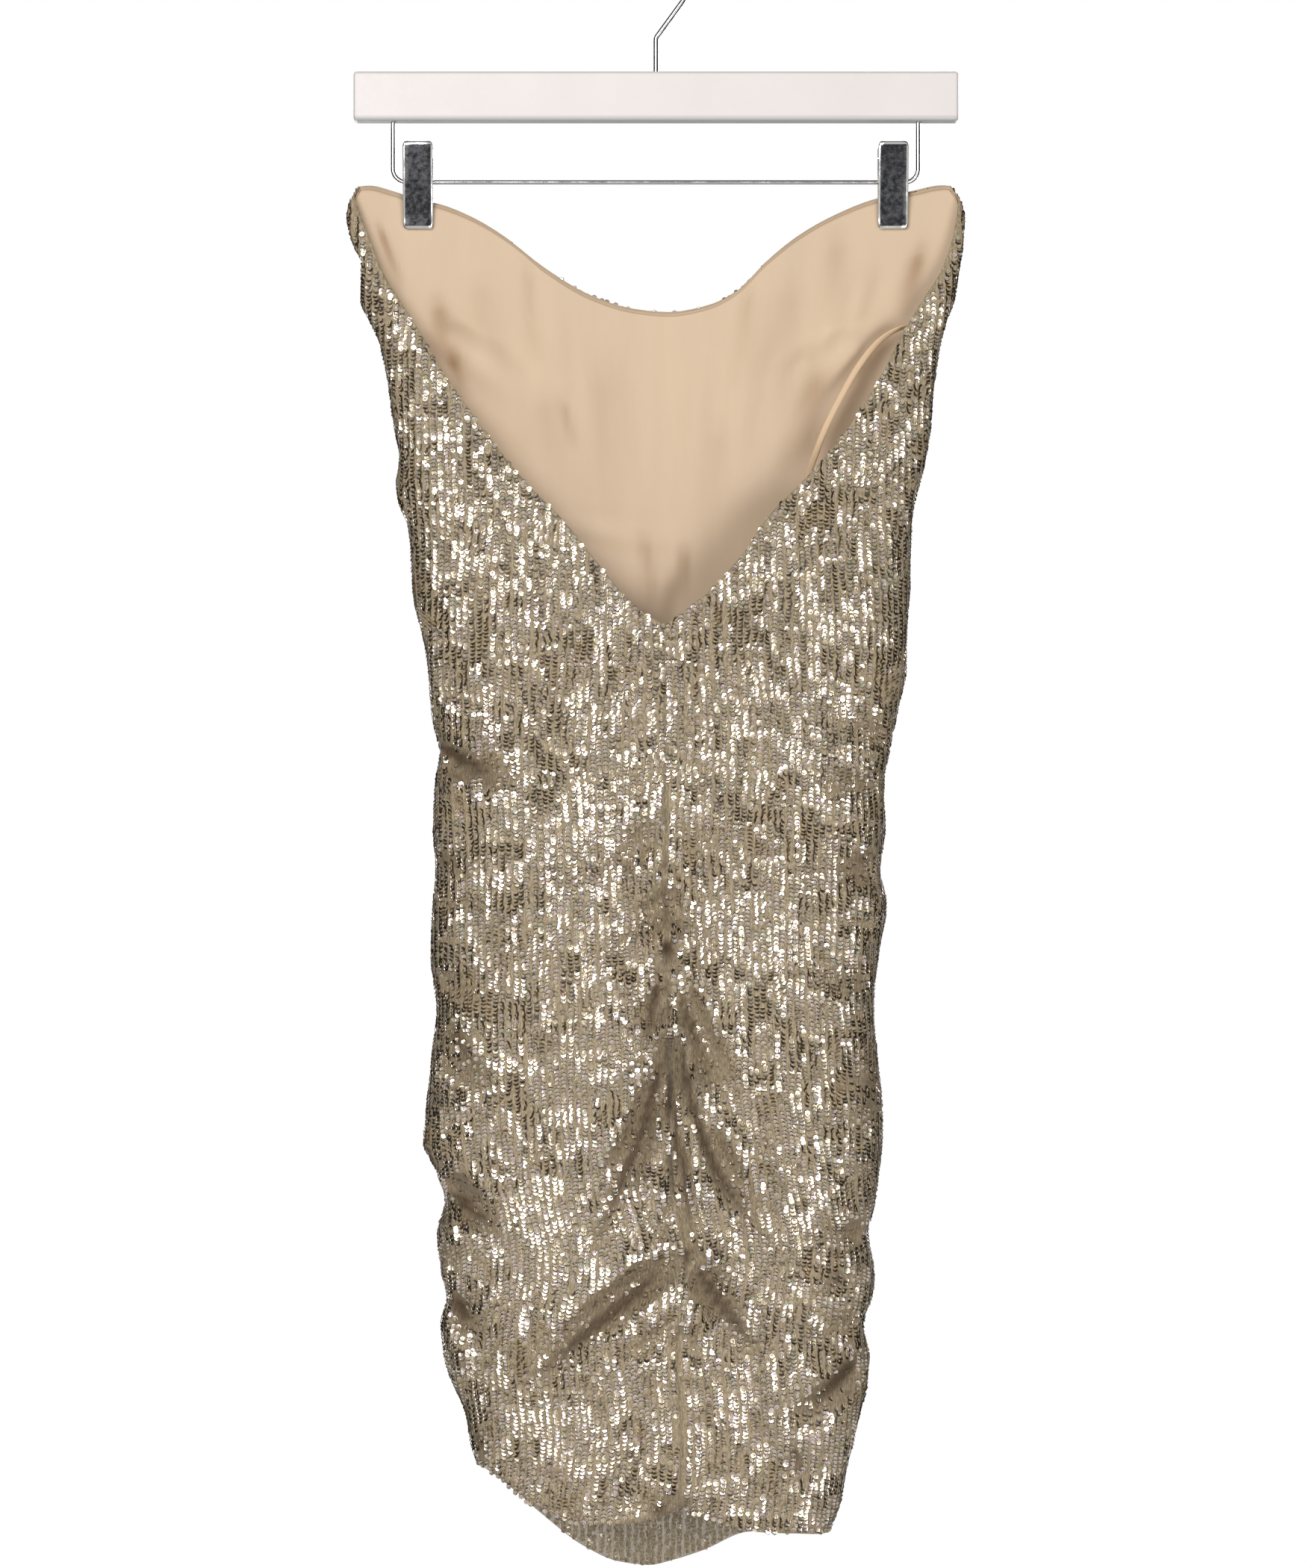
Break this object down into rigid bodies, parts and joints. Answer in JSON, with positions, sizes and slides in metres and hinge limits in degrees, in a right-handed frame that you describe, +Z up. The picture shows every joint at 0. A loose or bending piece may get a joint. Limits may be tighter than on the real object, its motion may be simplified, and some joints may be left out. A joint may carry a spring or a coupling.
{
  "type": "strapless sequin dress on a clip hanger",
  "caption": "Short strapless dress in sequined mesh with a low V back, ruched side and back seams and a plain lining, held by its top on a trouser clip hanger.",
  "frame": {"origin": "highest point inside the hanger's hook, where a rail bears", "axes": "+Z up, -Y towards the viewer who sees the dress's back, +Y towards the dress's front, +X to that viewer's right"},
  "size_m": [0.3878, 0.0855, 1.0216],
  "materials": {
    "sequin_cloth": "pale gold sequins in close upright rows on beige mesh",
    "lining": "tan satin, soft sheen",
    "ribbon": "tan satin ribbon",
    "white_wood": "smooth white satin paint on wood",
    "chrome": "polished chrome plate on steel"
  },
  "bodies": {
    "root": {"front_bodice": "sequin_cloth", "front_skirt": "sequin_cloth", "back_wing_left": "sequin_cloth", "back_wing_right": "sequin_cloth", "back_bodice_left": "sequin_cloth", "back_bodice_right": "sequin_cloth", "back_skirt_left": "sequin_cloth", "back_skirt_right": "sequin_cloth", "lining_front": "lining", "hanging_loop": "ribbon", "hanger_bar": "white_wood", "hanger_hook": "chrome", "hanger_wire": "chrome", "clip_left_inner_jaw": "chrome", "clip_left_outer_jaw": "chrome", "clip_left_spring": "chrome", "clip_right_inner_jaw": "chrome", "clip_right_outer_jaw": "chrome", "clip_right_spring": "chrome"}
  },
  "joints": []
}
